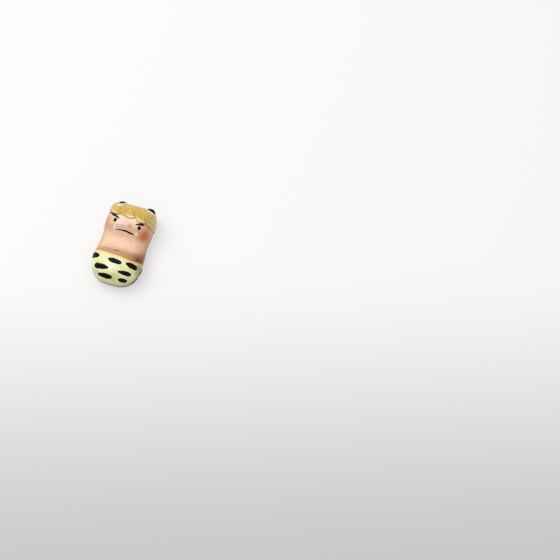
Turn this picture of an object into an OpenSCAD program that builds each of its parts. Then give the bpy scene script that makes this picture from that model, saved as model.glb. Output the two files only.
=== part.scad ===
// Ceramic chopstick rest: a small horned figure on its back, with a dip across its belly for the sticks.
// Millimetres. +Y points to the crown of the head, +Z up, and the origin is the middle of the flat foot.

/* [Body] */
// Length of the body over its glaze, from the seat of the trousers to the crown
body_length = 43; // [36:0.5:60]
// Width that the plan would have without its waist and its taper
body_width = 26.4; // [20:0.2:36]
// Height of the ridge line at the head
head_height = 18; // [15:0.25:24]
// Height of the ridge line at the legs
legs_height = 16.5; // [14:0.25:22]
// Length over which the ridge line climbs from the legs to the head
neck_length = 24; // [16:0.5:34]
// Height of the widest line above the table
girth_height = 5.5; // [4:0.25:8]
// How far the wall tucks in below the widest line
foot_tuck = 3; // [1:0.1:4]
// How much of the round underside is ground away to make the flat foot
foot_grind = 0.6; // [0.2:0.1:1.5]
// Fullness of the plan at the crown, where 2 is an ellipse and more is squarer
crown_fullness = 7.5; // [3:0.5:8]
// Fullness of the plan at the seat
seat_fullness = 3.1; // [2.4:0.1:5]
// Fullness of the cross section, where 2 is an ellipse
section_fullness = 2.4; // [2:0.1:3]

/* [Dip for the sticks] */
// Length of the dip along the body
dip_length = 14.8; // [12:0.2:18]
// Depth of the dip below the ridge line
dip_depth = 6; // [4:0.25:8]
// How far the lowest line of the dip lies from the middle, toward the seat
dip_offset = 0.4; // [0:0.1:2]

/* [Glaze] */
// Thickness of each coat of glaze
coat = 0.3; // [0.2:0.05:0.5]
// How far the hair and the trousers stand proud of the skin
relief_height = 0.6; // [0.2:0.05:0.8]
// Height of the lower edge of the glaze above the table
glaze_line = 1.2; // [0.8:0.1:2.5]
// Height of a painted enamel stroke over its glaze
enamel = 0.15; // [0.05:0.05:0.4]

/* [Face] */
// Height of the moulded nose
nose_height = 0.5; // [0.1:0.1:1.5]
// Radius of the moulded nose
nose_radius = 1.7; // [1:0.1:3]
// Height of the moulded cheeks
cheek_height = 0.4; // [0.1:0.1:1.2]
// Radius of the moulded cheeks
cheek_radius = 3.2; // [2:0.1:5]
// Length of an eye along the body
eye_length = 2.1; // [1:0.1:3]
// Width of an eye
eye_width = 1.7; // [0.8:0.1:2.4]
// Width of the stroke of a brow
brow_stroke = 1.2; // [0.5:0.1:1.8]
// Width of the stroke of the mouth
mouth_stroke = 1; // [0.4:0.1:1.4]
// Length of a fang
fang_length = 2.4; // [1.4:0.1:3.4]
// Width of a fang
fang_width = 1.3; // [0.8:0.1:2]
// Width of the navel
navel_width = 3; // [1.6:0.1:4]

/* [Hair and horns] */
// Width of the cream slip along a scallop of the fringe
curl_stroke = 0.9; // [0.5:0.1:1.6]
// Width of a horn across the head
horn_width = 5; // [3:0.1:7]
// Thickness of a horn where it stands on the head
horn_thickness = 3; // [2:0.1:5]
// Height of a horn above the hair
horn_height = 1.5; // [1.1:0.1:3]
// Height of the dark cap on the left horn
left_horn_cap = 0.5; // [0.3:0.1:0.9]
// Height of the dark cap on the right horn, where more was painted
right_horn_cap = 0.9; // [0.3:0.1:0.9]

/* [Trousers] */
// Length of a full stripe
stripe_length = 7.6; // [4:0.1:9]
// Width of a full stripe
stripe_width = 2.8; // [1.6:0.1:3.4]

/* [Hidden] */

// Places on the body are pairs of shares. The first runs across: 0 is the ridge, -1 and 1 are the widest
// lines, and from there the wall runs down toward -2 and 2, where its round underside would end if the
// foot weren't ground flat. The second runs along: -1 is the seat, 1 the crown.
half_length = body_length / 2;
half_width = body_width / 2;
end_share = 0.9995;

// Shares of its width that the body loses at the waist and at the crown, the share along at which the
// waist is narrowest, and the share of the half length over which it draws in
waist_share = 0.055;
waist_place_share = 0.11;
waist_reach_share = 0.25;
crown_taper_share = 0.09;

// Columns of the mesh from the ridge to a widest line, from there to the edge of the glaze, and on to
// the foot
dome_steps = 15;
wall_steps = 3;
foot_steps = 2;
// Rows of the mesh along the trousers, the skin and the hair
trouser_rows = 8;
skin_rows = 24;
hair_rows = 7;

// Places of the nose and of the right cheek
nose_place_share = [0.08, 0.33];
cheek_place_share = [0.74, 0.3];

// The line where the hair begins, from the left wall over the fringe to the right wall
hairline_shares = [
    [-2, 0.66], [-1, 0.75], [-0.75, 0.69], [-0.6, 0.645], [-0.5, 0.605], [-0.4, 0.565], [-0.33, 0.555],
    [-0.275, 0.575], [-0.235, 0.595], [-0.18, 0.58], [-0.12, 0.572], [-0.06, 0.547], [0, 0.535],
    [0.05, 0.53], [0.11, 0.54], [0.155, 0.57], [0.178, 0.59], [0.235, 0.54], [0.29, 0.505],
    [0.355, 0.487], [0.41, 0.49], [0.475, 0.502], [0.545, 0.522], [0.62, 0.505], [0.72, 0.488],
    [0.84, 0.486], [1, 0.53], [1.25, 0.58], [2, 0.6]
];
// The share along of the plain line of the brow, which the rows of the skin follow, and the power with
// which the rows above it bend to the fringe
brow_share = 0.5;
fringe_power = 4;
// The waistline of the trousers, from the left wall over the belly to the right wall
waistline_shares = [
    [-2, -0.38], [-1, -0.38], [-0.52, -0.385], [-0.23, -0.413], [0.1, -0.43], [0.4, -0.452],
    [0.6, -0.44], [0.75, -0.41], [1, -0.38], [2, -0.38]
];

// Painted lines, each a row of places with the share of its stroke's width there
left_brow_shares = [
    [-0.74, 0.645, 0.35], [-0.61, 0.61, 0.65], [-0.52, 0.577, 0.78], [-0.432, 0.543, 0.9],
    [-0.375, 0.524, 1], [-0.323, 0.506, 0.85], [-0.27, 0.486, 0.75], [-0.215, 0.463, 0.6]
];
right_brow_shares = [
    [0.262, 0.406, 0.5], [0.325, 0.428, 0.65], [0.373, 0.448, 0.9], [0.423, 0.46, 1], [0.465, 0.468, 0.95],
    [0.505, 0.472, 0.7]
];
mouth_shares = [
    [-0.235, 0.213, 0.35], [-0.193, 0.225, 0.5], [-0.13, 0.232, 0.6], [-0.07, 0.234, 0.7],
    [-0.01, 0.232, 0.8], [0.05, 0.231, 0.95], [0.103, 0.222, 1], [0.155, 0.214, 0.95], [0.208, 0.209, 0.8],
    [0.262, 0.199, 0.5]
];
// Spans of the fringe that carry cream slip, each from one share across to another
curl_span_shares = [[-0.62, -0.28], [-0.07, 0.165], [0.195, 0.5]];
// How far inside the edge of the hair the slip lies, as a share of the half length
curl_inset_share = 0.04;

// Places of the painted dots, and their turns in degrees from lying across the body
left_eye_place_share = [-0.312, 0.402];
right_eye_place_share = [0.395, 0.356];
left_fang_place_share = [-0.292, 0.256];
right_fang_place_share = [0.34, 0.226];
navel_place_share = [-0.006, -0.305];
left_eye_turn = 78;
right_eye_turn = 90;
left_fang_turn = 84;
right_fang_turn = 100;
navel_turn = 14;
// Height of the navel as a share of its width
navel_height_share = 0.3;

// Places of the horns. The lean is an arrow by its parts: outward, to the crown, up. Then the share of
// its width that a horn keeps at its crown, and the share that its root in the hair has.
left_horn_place_share = [-0.36, 0.85];
right_horn_place_share = [0.62, 0.87];
horn_lean_share = [0.42, 0.75, 0.4];
horn_crown_share = 0.3;
horn_root_share = 0.5;
// Turn of a horn's broad side from the crown toward its own side
horn_turn = 32;

// Stripes of the trousers: place across and along, share of the full length and of the full width, turn,
// and how much fuller the stripe is at its right end than in its middle
stripe_shares = [
    [-0.565, -0.512, 0.66, 1.2, 12, 0.35], [0.045, -0.563, 0.97, 0.88, -5, 0],
    [-0.345, -0.738, 1.08, 1.02, 0, -0.3], [0.555, -0.548, 0.95, 0.95, -1, 0.2],
    [0.442, -0.752, 0.92, 0.8, 7, 0.3], [-0.215, -0.908, 1.04, 1.02, -1, 0.25],
    [0.547, -0.893, 0.62, 0.9, 14, 0.15], [-1.24, -0.76, 0.6, 0.75, 84, 0],
    [1.25, -0.74, 0.6, 0.75, 96, 0], [-1.22, -0.52, 0.48, 0.75, 98, 0], [1.2, -0.51, 0.48, 0.75, 82, 0]
];

// Steps along a stripe and across it, and along and across a thin line
stripe_steps = 10;
stripe_cross_steps = 4;
line_steps = 10;
line_cross_steps = 2;
// Clearance under a stroke, which clears the flat facets of the coat that carries it
stroke_clearance = 0.02;
// Share of its height that a stroke keeps at its edge, and of its width that it keeps at its ends
stroke_edge_share = 0.3;
stroke_end_share = 0.12;
// Power of the outline of a dash, where 2 is an oval
dash_power = 2.4;
// Rings of a horn, and places around each
horn_rings = 5;
horn_places = 20;
// Small share used to measure slopes
slope_share = 0.004;

// Colours
clay_colour = [0.86, 0.82, 0.76];
skin_colour = [0.94, 0.84, 0.75];
hair_colour = [0.88, 0.72, 0.38];
trouser_colour = [0.94, 0.94, 0.7];
horn_colour = [0.86, 0.78, 0.6];
curl_colour = [0.93, 0.83, 0.6];
fang_colour = [0.96, 0.84, 0.73];
enamel_colour = [0.08, 0.06, 0.05];
navel_colour = [0.33, 0.12, 0.08];

function smooth(u) = u * u * (3 - 2 * u);
function clamp(u) = min(max(u, 0), 1);
function unit(a) = a / norm(a);

// Half width of the plan at a share along the body, for a face that lies a depth under the outside
function plan_fullness(along) = along < 0 ? seat_fullness : crown_fullness;
function plan_half(along, depth) =
    (half_width - depth)
    * (1 - waist_share * exp(-pow((along - waist_place_share) / waist_reach_share, 2)))
    * (1 - crown_taper_share * pow(max(along, 0), 2))
    * pow(1 - pow(abs(along), plan_fullness(along)), 1 / plan_fullness(along));

// Height of the ridge line, with the dip for the sticks
function ridge(y) =
    let (climb = clamp(0.5 + y / neck_length), off = clamp(abs(y + dip_offset) / (dip_length / 2)))
    legs_height + (head_height - legs_height) * smooth(climb) - dip_depth * pow(1 - pow(off, 3), 2);

// Moulded nose and cheeks
function bump(x, y, place, height, radius) =
    let (away = norm([x - place[0] * half_width, y - place[1] * half_length]))
    height * exp(-pow(away / radius, 2));
function moulding(x, y) =
    bump(x, y, nose_place_share, nose_height, nose_radius)
    + bump(abs(x), y, cheek_place_share, cheek_height, cheek_radius);

// Upper part of the body: rounded sections under the ridge line that close at the plan's outline
function dome(across, along, depth) =
    let (
        power = plan_fullness(along),
        s = sin(90 * across),
        x = plan_half(along, depth) * s,
        y = (half_length - depth) * along,
        out = pow(pow(abs(s), power) * (1 - pow(abs(along), power)) + pow(abs(along), power), 1 / power),
        rise = pow(max(1 - pow(out, section_fullness), 0), 1 / section_fullness)
    )
    [x, y, girth_height + (ridge(y) - depth - girth_height + moulding(x, y)) * rise];

// Lower part of the body: a wall that rounds in under the widest line
function wall(across, along, depth) =
    let (
        edge = [sign(across) * plan_half(along, depth), (half_length - depth) * along],
        fall = 90 * (abs(across) - 1),
        pull = 1 - foot_tuck * (1 - cos(fall)) / norm(edge)
    )
    [edge[0] * pull, edge[1] * pull, girth_height - (girth_height + foot_grind) * sin(fall)];

function on_body(across, along, depth) =
    abs(across) <= 1 ? dome(across, along, depth) : wall(across, along, depth);

// Shares across at which the wall reaches the edge of the glaze and the ground flat foot
glaze_share = 1 + asin((girth_height - glaze_line) / (girth_height + foot_grind)) / 90;
foot_share = 1 + asin(girth_height / (girth_height + foot_grind)) / 90;

// Columns of the mesh, from the left to the right
right_columns = concat(
    [for (i = [1:dome_steps]) i / dome_steps],
    [for (i = [1:wall_steps]) 1 + (glaze_share - 1) * i / wall_steps]
);
foot_columns = [for (i = [1:foot_steps]) glaze_share + (foot_share - glaze_share) * i / foot_steps];
glazed_columns = concat([for (i = [len(right_columns) - 1:-1:0]) -right_columns[i]], [0], right_columns);
clay_columns = concat([for (i = [foot_steps - 1:-1:0]) -foot_columns[i]], glazed_columns, foot_columns);

// Seams between the coats, and the rows of each band, which crowd together where the crown and the seat
// turn down. At their seams the hair and the trousers reach down to the skin.
function hairline(across) = lookup(across, hairline_shares);
function waistline(across) = lookup(across, waistline_shares);
function crowd(u) = 1 - pow(1 - u, 2);
function trouser_along(across, u) = waistline(across) + (-end_share - waistline(across)) * crowd(1 - u);
function skin_along(across, u) =
    waistline(across)
    + (brow_share - waistline(across)) * u
    + (hairline(across) - brow_share) * pow(u, fringe_power);
function hair_along(across, u) = hairline(across) + (end_share - hairline(across)) * crowd(u);
function trouser_band(columns, depth, seam_depth) =
    [for (i = [0:trouser_rows])
        let (d = i == trouser_rows ? seam_depth : depth)
        [for (c = columns) on_body(c, trouser_along(c, i / trouser_rows), d)]];
function skin_band(columns, depth) =
    [for (i = [0:skin_rows]) [for (c = columns) on_body(c, skin_along(c, i / skin_rows), depth)]];
function hair_band(columns, depth, seam_depth) =
    [for (i = [0:hair_rows])
        let (d = i == 0 ? seam_depth : depth)
        [for (c = columns) on_body(c, hair_along(c, i / hair_rows), d)]];

// Faces of a grid of points, by its numbers of rows and columns and the number of its first point
function flatten(rows) = [for (row = rows) for (p = row) p];
function quad(a, b, c, d, flip) = flip ? [[a, b, c], [a, c, d]] : [[c, b, a], [d, c, a]];
function grid_faces(rows, columns, first, flip) =
    [for (i = [0:rows - 2]) for (j = [0:columns - 2])
        let (a = first + i * columns + j) each quad(a, a + 1, a + columns + 1, a + columns, flip)];
// Faces that close an end row: strips from its left wall to its right wall, and a fan over its dome
function end_faces(columns, first, flip) =
    let (walls = (columns - 1) / 2 - dome_steps, left = first + walls)
    concat(
        [for (j = [0:walls - 1])
            let (a = first + j, d = first + columns - 1 - j) each quad(a, a + 1, d - 1, d, flip)],
        [for (k = [left + 1:left + 2 * dome_steps - 1]) flip ? [left, k, k + 1] : [k + 1, k, left]]
    );
// Faces between the edges of an outer grid and of an inner one, along a column or along a row
function column_rim(rows, columns, column, shift, flip) =
    [for (i = [0:rows - 2])
        let (a = i * columns + column) each quad(a, a + columns, a + columns + shift, a + shift, flip)];
function row_rim(columns, row, shift, flip) =
    [for (j = [0:columns - 2])
        let (a = row * columns + j) each quad(a, a + 1, a + 1 + shift, a + shift, flip)];

// Solid between an outer and an inner grid, open at neither end
module slab(outer, inner) {
    rows = len(outer);
    columns = len(outer[0]);
    shift = rows * columns;
    polyhedron(
        points = concat(flatten(outer), flatten(inner)),
        faces = concat(
            grid_faces(rows, columns, 0, false),
            grid_faces(rows, columns, shift, true),
            column_rim(rows, columns, 0, shift, false),
            column_rim(rows, columns, columns - 1, shift, true),
            row_rim(columns, 0, shift, true),
            row_rim(columns, rows - 1, shift, false)
        )
    );
}

// Solid between two grids whose first or last row closes round the end of the body
module cap_slab(outer, inner, closed_row) {
    rows = len(outer);
    columns = len(outer[0]);
    shift = rows * columns;
    seam_row = closed_row == 0 ? rows - 1 : 0;
    start = closed_row * columns;
    turned = closed_row == 0;
    polyhedron(
        points = concat(flatten(outer), flatten(inner)),
        faces = concat(
            grid_faces(rows, columns, 0, false),
            grid_faces(rows, columns, shift, true),
            end_faces(columns, start, turned),
            end_faces(columns, start + shift, !turned),
            column_rim(rows, columns, 0, shift, false),
            column_rim(rows, columns, columns - 1, shift, true),
            row_rim(columns, seam_row, shift, !turned),
            quad(start, start + columns - 1, start + columns - 1 + shift, start + shift, turned)
        )
    );
}

// Arrows of one share across and of one share along, and the outward direction, at a place
function slope(p, step, depth) =
    (on_body(p[0] + step[0], p[1] + step[1], depth) - on_body(p[0] - step[0], p[1] - step[1], depth))
    / (2 * norm(step));
function slope_across(p, depth) = slope(p, [slope_share, 0], depth);
function slope_along(p, depth) = slope(p, [0, slope_share], depth);
function outward(p, depth) = unit(cross(slope_across(p, depth), slope_along(p, depth)));
// The place that lies a distance across and a distance along from another
function moved(p, step, depth) =
    [p[0] + step[0] / norm(slope_across(p, depth)), p[1] + step[1] / norm(slope_along(p, depth))];

// A stroke of enamel from rows of places, seated on the glaze and swelling to its height in the middle
module stroke(rows, height, depth) {
    last_row = len(rows) - 1;
    last_place = len(rows[0]) - 1;
    under = [for (row = rows) [for (p = row)
        on_body(p[0], p[1], depth) + outward(p, depth) * stroke_clearance]];
    top = [for (i = [0:last_row]) [for (j = [0:last_place])
        let (
            along = sin(180 * i / last_row),
            across = sin(180 * j / last_place),
            swell = stroke_edge_share + (1 - stroke_edge_share) * sqrt(along * across)
        )
        under[i][j] + outward(rows[i][j], depth) * (height * swell - stroke_clearance)]];
    slab(top, under);
}

// A step turned by an angle in degrees
function turned_step(a, b, turn) = [a * cos(turn) - b * sin(turn), a * sin(turn) + b * cos(turn)];

// Rows of places of a pointed dash, whose length lies across the body before its turn in degrees
function dash_rows(place, length, width, turn, fuller, steps, cross_steps, depth) =
    [for (j = [0:cross_steps]) [for (i = [0:steps])
        let (
            u = 2 * i / steps - 1,
            w = 2 * j / cross_steps - 1,
            half = width / 2 * max(sqrt(1 - pow(abs(u), dash_power)) * (1 + fuller * u), stroke_end_share)
        )
        moved(place, turned_step(length / 2 * u, half * w, turn), depth)]];

// Rows of places of a painted line, through a list of places with their shares of the stroke's width
function between(list, u) =
    let (at = u * (len(list) - 1), i = min(floor(at), len(list) - 2), f = at - i)
    list[i] * (1 - f) + list[i + 1] * f;
function line_rows(list, width, steps, depth) =
    [for (j = [0:line_cross_steps]) [for (i = [0:steps])
        let (
            u = i / steps,
            here = between(list, u),
            back = between(list, max(u - 1 / steps, 0)),
            ahead = between(list, min(u + 1 / steps, 1)),
            p = [here[0], here[1]],
            run = unit([
                (ahead[0] - back[0]) * norm(slope_across(p, depth)),
                (ahead[1] - back[1]) * norm(slope_along(p, depth))
            ]),
            off = width / 2 * here[2] * (2 * j / line_cross_steps - 1)
        )
        moved(p, [-run[1] * off, run[0] * off], depth)]];

// The lean of a horn on the left (-1) or the right (1)
function horn_place(side) = side < 0 ? left_horn_place_share : right_horn_place_share;
function horn_arrow(side) = unit([side * horn_lean_share[0], horn_lean_share[1], horn_lean_share[2]]);
// Share of its width that is left at a share of its height: a dome with a blunt crown
function horn_narrowing(u) = sqrt(1 - (1 - pow(horn_crown_share, 2)) * pow(u, 2));
// An oval on the hair, at a share of the reach of the horn's foot
function horn_oval(side, reach) =
    [for (k = [0:horn_places - 1])
        let (
            way = 360 * k / horn_places,
            a = reach / 2 * horn_width * cos(way),
            b = reach / 2 * horn_thickness * sin(way),
            p = moved(horn_place(side), turned_step(a, b, -side * horn_turn), 0)
        )
        on_body(p[0], p[1], 0)];
function horn_middle(side) = on_body(horn_place(side)[0], horn_place(side)[1], 0);
// A ring of the horn at a share of its height
function horn_ring(side, u) =
    let (middle = horn_middle(side), climb = horn_arrow(side) * horn_height * u)
    [for (p = horn_oval(side, 1)) middle + (p - middle) * horn_narrowing(u) + climb];
function centre(ring) = [for (p = ring) 1] * ring / len(ring);

// Share of a horn's height at which its dark cap begins
function cap_share(side) = 1 - (side < 0 ? left_horn_cap : right_horn_cap) / horn_height;

// Solid from closed rings of points stacked from low to high, closed at each end by a fan round a point
module stacked(rings, low, high) {
    count = len(rings[0]);
    last = len(rings) - 1;
    low_point = (last + 1) * count;
    high_point = low_point + 1;
    polyhedron(
        points = concat(flatten(rings), [low, high]),
        faces = concat(
            [for (r = [0:last - 1]) for (k = [0:count - 1])
                let (next = (k + 1) % count, a = r * count, b = a + count)
                each quad(a + k, a + next, b + next, b + k, false)],
            [for (k = [0:count - 1]) [k, (k + 1) % count, low_point]],
            [for (k = [0:count - 1]) [high_point, last * count + (k + 1) % count, last * count + k]]
        )
    );
}

// Where the horns reach past the crown, the figure is moved back so that the whole is centred
horn_reach = max([
    for (side = [-1, 1]) for (i = [0:horn_rings]) for (p = horn_ring(side, i / horn_rings)) p[1]
]);
body_reach = half_length * end_share;
centring = (body_reach - max(horn_reach, body_reach)) / 2;
module centred() translate([0, centring, 0]) children();

// Pressed clay body: what the coats leave of the whole form, ground flat underneath
module clay_body() color(clay_colour) centred() {
    rows = concat(
        trouser_band(clay_columns, coat, relief_height),
        skin_band(clay_columns, relief_height + coat),
        hair_band(clay_columns, coat, relief_height)
    );
    columns = len(clay_columns);
    last = len(rows) - 1;
    polyhedron(
        points = flatten(rows),
        faces = concat(
            grid_faces(last + 1, columns, 0, false),
            end_faces(columns, 0, true),
            end_faces(columns, last * columns, false),
            [for (i = [0:last - 1])
                let (a = i * columns)
                each quad(a, a + columns - 1, a + 2 * columns - 1, a + columns, true)]
        )
    );
}

module skin_coat() color(skin_colour) centred()
    slab(skin_band(glazed_columns, relief_height), skin_band(glazed_columns, relief_height + coat));

module hair_coat() color(hair_colour) centred()
    cap_slab(hair_band(glazed_columns, 0, 0), hair_band(glazed_columns, coat, relief_height), hair_rows);

module trouser_coat() color(trouser_colour) centred()
    cap_slab(trouser_band(glazed_columns, 0, 0), trouser_band(glazed_columns, coat, relief_height), 0);

// Clay nub of a horn, on the left (-1) or the right (1), up to its dark cap
module horn(side) color(horn_colour) centred()
    stacked(
        concat(
            [horn_oval(side, horn_root_share)],
            [for (i = [0:horn_rings]) horn_ring(side, cap_share(side) * i / horn_rings)]
        ),
        horn_middle(side),
        centre(horn_ring(side, cap_share(side)))
    );

module horn_tip(side) color(enamel_colour) centred()
    stacked(
        [for (i = [0:horn_rings])
            horn_ring(side, cap_share(side) + (1 - cap_share(side)) * i / horn_rings)],
        centre(horn_ring(side, cap_share(side))),
        centre(horn_ring(side, 1))
    );

// Cream slip along the scallops of the fringe
module hair_curls() color(curl_colour) centred()
    for (span = curl_span_shares) {
        places = [for (i = [0:line_steps])
            let (u = i / line_steps, across = span[0] + (span[1] - span[0]) * u)
            [across, hairline(across) + curl_inset_share, max(sqrt(sin(180 * u)), stroke_end_share)]];
        stroke(line_rows(places, curl_stroke, line_steps, 0), enamel, 0);
    }

// A line of dark enamel painted on the skin
module skin_line(places, width) color(enamel_colour) centred()
    stroke(line_rows(places, width, line_steps, relief_height), enamel, relief_height);

// A dot of enamel painted on the skin
module skin_dot(place, length, width, turn)
    centred() stroke(
        dash_rows(place, length, width, turn, 0, line_steps, stripe_cross_steps, relief_height),
        enamel, relief_height
    );

// A stripe of black enamel on the trousers, by its number in the table
module stripe(number) {
    s = stripe_shares[number - 1];
    color(enamel_colour) centred()
        stroke(
            dash_rows([s[0], s[1]], s[2] * stripe_length, s[3] * stripe_width, s[4], s[5],
                stripe_steps, stripe_cross_steps, 0),
            enamel, 0
        );
}

module left_horn() horn(-1);
module right_horn() horn(1);
module left_horn_tip() horn_tip(-1);
module right_horn_tip() horn_tip(1);
module left_brow() skin_line(left_brow_shares, brow_stroke);
module right_brow() skin_line(right_brow_shares, brow_stroke);
module mouth_line() skin_line(mouth_shares, mouth_stroke);
module left_eye() color(enamel_colour)
    skin_dot(left_eye_place_share, eye_length, eye_width, left_eye_turn);
module right_eye() color(enamel_colour)
    skin_dot(right_eye_place_share, eye_length, eye_width, right_eye_turn);
module left_fang() color(fang_colour)
    skin_dot(left_fang_place_share, fang_length, fang_width, left_fang_turn);
module right_fang() color(fang_colour)
    skin_dot(right_fang_place_share, fang_length, fang_width, right_fang_turn);
module navel() color(navel_colour)
    skin_dot(navel_place_share, navel_width, navel_width * navel_height_share, navel_turn);

clay_body();
skin_coat();
hair_coat();
trouser_coat();
left_horn();
right_horn();
left_horn_tip();
right_horn_tip();
hair_curls();
left_brow();
right_brow();
left_eye();
right_eye();
mouth_line();
left_fang();
right_fang();
navel();
stripe(1);  // stripe_1
stripe(2);  // stripe_2
stripe(3);  // stripe_3
stripe(4);  // stripe_4
stripe(5);  // stripe_5
stripe(6);  // stripe_6
stripe(7);  // stripe_7
stripe(8);  // stripe_8
stripe(9);  // stripe_9
stripe(10);  // stripe_10
stripe(11);  // stripe_11
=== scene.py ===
"""Looks of a glazed ceramic chopstick rest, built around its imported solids. Lengths are in metres."""

import math

import bmesh
import bpy
import numpy as np
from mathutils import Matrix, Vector


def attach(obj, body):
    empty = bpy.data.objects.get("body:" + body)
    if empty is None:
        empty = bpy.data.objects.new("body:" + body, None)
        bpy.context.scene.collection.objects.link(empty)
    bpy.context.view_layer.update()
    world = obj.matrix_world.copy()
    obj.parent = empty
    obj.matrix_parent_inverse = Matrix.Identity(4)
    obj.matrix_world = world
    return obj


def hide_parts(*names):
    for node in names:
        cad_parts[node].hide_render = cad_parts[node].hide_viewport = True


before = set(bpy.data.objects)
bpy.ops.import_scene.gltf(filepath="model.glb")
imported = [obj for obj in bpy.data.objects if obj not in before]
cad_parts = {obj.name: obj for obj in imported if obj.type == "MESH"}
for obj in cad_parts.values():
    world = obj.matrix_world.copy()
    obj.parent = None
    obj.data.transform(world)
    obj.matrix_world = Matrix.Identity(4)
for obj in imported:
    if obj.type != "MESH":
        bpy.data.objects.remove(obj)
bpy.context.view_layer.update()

MM = 0.001
QUARTER = math.pi / 2

# The camera stands where the photograph was taken from
CAMERA_PLACE = Vector((136.6, -191.75, 563.8)) * MM
CAMERA_TARGET = Vector((80.6, 5.75, 0)) * MM
FOCAL_PIXELS = 1188
IMAGE_PIXELS = 560
SENSOR_WIDTH = 36
NEAREST_SEEN = 10 * MM

# Sizes of the body, as its solids have them
HALF_LENGTH = 21.5 * MM
HALF_WIDTH = 13.2 * MM
HEAD_HEIGHT = 18 * MM
LEGS_HEIGHT = 16.5 * MM
NECK_LENGTH = 24 * MM
GIRTH_HEIGHT = 5.5 * MM
FOOT_TUCK = 3 * MM
FOOT_GRIND = 0.6 * MM
CROWN_FULLNESS = 7.5
SEAT_FULLNESS = 3.1
SECTION_FULLNESS = 2.4
WAIST_SHARE = 0.055
WAIST_PLACE_SHARE = 0.11
WAIST_REACH_SHARE = 0.25
CROWN_TAPER_SHARE = 0.09
DIP_LENGTH = 14.8 * MM
DIP_DEPTH = 6 * MM
DIP_OFFSET = 0.4 * MM
NOSE_PLACE = (0.08, 0.33)
NOSE_HEIGHT = 0.5 * MM
NOSE_RADIUS = 1.7 * MM
CHEEK_PLACE = (0.74, 0.3)
CHEEK_HEIGHT = 0.4 * MM
CHEEK_RADIUS = 3.2 * MM

# Coats of glaze and their edges. Hair and trousers have the body's plain form, and the skin lies deeper.
COAT = 0.3 * MM
RELIEF = 0.6 * MM
GLAZE_LINE = 1.2 * MM
FRINGE_ROUND = 0.5 * MM
WAIST_ROUND = 1.3 * MM
RIM_ROUND = 0.45 * MM
GLAZE_SWELL = 0.018 * MM
EDGE_WAVER = 0.012
UNDERLAP = 0.012
CALM_FOOT = 1.3

# Places are shares across (-1 and 1 are the widest lines, past them the wall) and along (-1 seat, 1 crown)
HAIRLINE = np.array([
    (-2, 0.66), (-1, 0.75), (-0.75, 0.69), (-0.6, 0.645), (-0.5, 0.605), (-0.4, 0.565), (-0.33, 0.555),
    (-0.275, 0.575), (-0.235, 0.595), (-0.18, 0.58), (-0.12, 0.572), (-0.06, 0.547), (0, 0.535),
    (0.05, 0.53), (0.11, 0.54), (0.155, 0.57), (0.178, 0.59), (0.235, 0.54), (0.29, 0.505),
    (0.355, 0.487), (0.41, 0.49), (0.475, 0.502), (0.545, 0.522), (0.62, 0.505), (0.72, 0.488),
    (0.84, 0.486), (1, 0.53), (1.25, 0.58), (2, 0.6),
])
HAIR_PARTINGS = (-0.235, 0.178, 0.545)
WAISTLINE = np.array([
    (-2, -0.38), (-1, -0.38), (-0.52, -0.385), (-0.23, -0.413), (0.1, -0.43), (0.4, -0.452),
    (0.6, -0.44), (0.75, -0.41), (1, -0.38), (2, -0.38),
])

# Curls of the fringe: place, radius and rise, and the width of the valley round them
CURLS = (
    ((-0.45, 0.7), 2.7 * MM, 0.18 * MM), ((0.02, 0.66), 2.5 * MM, 0.32 * MM),
    ((0.37, 0.63), 3 * MM, 0.26 * MM), ((0.74, 0.62), 2.6 * MM, 0.16 * MM),
)
CURL_VALLEY = 0.4 * MM

# Grooves between the locks of hair. Sweep, start and end are shares across and along.
GROOVE_DEPTH = 0.2 * MM
GROOVE_WIDTH = 0.4 * MM
GROOVE_SWEEP = 0.495
GROOVE_POWER = 0.7
GROOVE_START = 0.02
GROOVE_END = 0.2

# The bead along the fringe and the waves past it, which end on the crown
BEAD_DEPTH = 0.14 * MM
BEAD_SPACING = 1.3 * MM
BEAD_REACH = 2 * MM
BEAD_SETTLE = 1.5 * MM
CALM_CROWN = (0.9, 0.97)

# Combed strands, 1 mm apart
STRAND_DEPTH = 0.045 * MM
STRAND_START = 0.8 * MM
STRAND_CLIMB = 0.25
STRAND_WANDER = 0.9
STRAND_POWER = 1.6

# Waves, each with its height, its start, and its pace along each coordinate
SWELL_WAVES = (
    (1, 0, 0.9, 0.5, 0.4), (1, 2.1, -0.6, 1.1, 0.7), (0.7, 1.3, 1.7, -0.8, 1.3), (0.5, 0, 0.5, 2.3, -1.9),
)
WIPE_WAVES = ((1, 1, 3), (0.6, 2.4, 7), (0.5, 0.6, 15))
COMB_WAVES = ((1, 0, 0.55, 0.3), (0.5, 1, 0.3, -1.1))
FAINT_WAVES = ((0.25, 0, 0.9, 0.7),)
BEAD_WAVES = ((0.25, 0, 7, 3), (0.15, 0, 19, -11))
BRUSH_WAVES = ((1, 0, 5.3, 11, 3, 0), (0.6, 0, 9.1, 0, 0, -7))

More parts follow.
